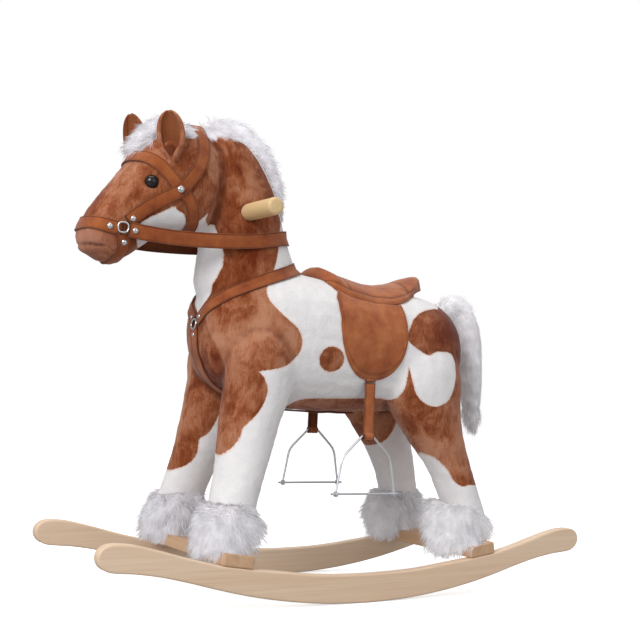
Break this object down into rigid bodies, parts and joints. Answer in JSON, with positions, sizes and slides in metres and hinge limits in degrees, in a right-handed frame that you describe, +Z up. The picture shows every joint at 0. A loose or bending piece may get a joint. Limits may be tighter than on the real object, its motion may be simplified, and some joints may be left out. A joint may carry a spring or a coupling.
{
  "type": "rocking horse",
  "caption": "Plush pinto rocking horse for a toddler: soft horse with saddle, bridle, swinging stirrups and a grab handle, standing on crossboards between curved wooden rockers.",
  "frame": {"origin": "middle of the horse's outer box at floor level, under the saddle", "axes": "+Z up, -Y the way the horse faces, +X the horse's left side"},
  "size_m": [0.28, 0.8536, 0.721],
  "materials": {
    "pine": "clear satin lacquer",
    "beech": "smooth satin lacquer",
    "frame_wood": "raw sawn",
    "steel": "bright plated",
    "rivet_chrome": "polished",
    "eye_black": "glossy",
    "suede_tan": "suede",
    "white_fur": "long pile",
    "brown_plush": "short pile",
    "pinto_plush": "short pile in brown and white patches"
  },
  "bodies": {
    "horse": {"belly_strap": "suede_tan", "bit_ring_left": "steel", "bit_ring_right": "steel", "board_bolt_front_left": "steel", "board_bolt_front_right": "steel", "board_bolt_rear_left": "steel", "board_bolt_rear_right": "steel", "breast_collar": "suede_tan", "browband": "suede_tan", "cheek_rivet_left": "rivet_chrome", "cheek_rivet_right": "rivet_chrome", "chest_ring": "steel", "chin_strap": "suede_tan", "cross_nut_front_left": "steel", "cross_nut_front_right": "steel", "cross_nut_rear_left": "steel", "cross_nut_rear_right": "steel", "crossboard_front": "pine", "crossboard_rear": "pine", "ear_left": "brown_plush", "ear_right": "brown_plush", "eye_left": "eye_black", "eye_right": "eye_black", "forelock": "white_fur", "fur_cuff_front_left": "white_fur", "fur_cuff_front_right": "white_fur", "fur_cuff_rear_left": "white_fur", "fur_cuff_rear_right": "white_fur", "handle_dowel": "beech", "head": "pinto_plush", "headstall": "suede_tan", "leg_front_left": "pinto_plush", "leg_front_right": "pinto_plush", "leg_post_front_left": "frame_wood", "leg_post_front_right": "frame_wood", "leg_post_rear_left": "frame_wood", "leg_post_rear_right": "frame_wood", "leg_rear_left": "pinto_plush", "leg_rear_right": "pinto_plush", "mane": "white_fur", "neck": "pinto_plush", "neck_board": "frame_wood", "noseband": "suede_tan", "rein": "suede_tan", "rocker_left": "pine", "rocker_right": "pine", "saddle_flap_left": "suede_tan", "saddle_flap_right": "suede_tan", "saddle_seat": "suede_tan", "spine_board": "frame_wood", "throatlatch": "suede_tan", "torso": "pinto_plush"},
    "stirrup_strap_left": {"stirrup_leather_left": "suede_tan"},
    "stirrup_left": {"stirrup_bar_left": "steel", "stirrup_bow_left": "steel"},
    "stirrup_strap_right": {"stirrup_leather_right": "suede_tan"},
    "stirrup_right": {"stirrup_bar_right": "steel", "stirrup_bow_right": "steel"},
    "tail": {"tail": "white_fur"}
  },
  "joints": [
    {"name": "stirrup_strap_left_swing", "type": "hinge", "parent": "horse", "child": "stirrup_strap_left", "pos_m": [0.0945, 0.018, 0.318], "axis": [1, 0, 0], "range_deg": [-35, 12]},
    {"name": "stirrup_left_tilt", "type": "hinge", "parent": "stirrup_strap_left", "child": "stirrup_left", "pos_m": [0.0945, 0.018, 0.244], "axis": [0, 1, 0], "range_deg": [-50, 50]},
    {"name": "stirrup_strap_right_swing", "type": "hinge", "parent": "horse", "child": "stirrup_strap_right", "pos_m": [-0.0945, 0.034, 0.318], "axis": [1, 0, 0], "range_deg": [-35, 12]},
    {"name": "stirrup_right_tilt", "type": "hinge", "parent": "stirrup_strap_right", "child": "stirrup_right", "pos_m": [-0.0945, 0.034, 0.244], "axis": [0, 1, 0], "range_deg": [-50, 50]},
    {"name": "tail_lift", "type": "hinge", "parent": "horse", "child": "tail", "pos_m": [0, 0.216, 0.447], "axis": [1, 0, 0], "range_deg": [0, 45]}
  ]
}
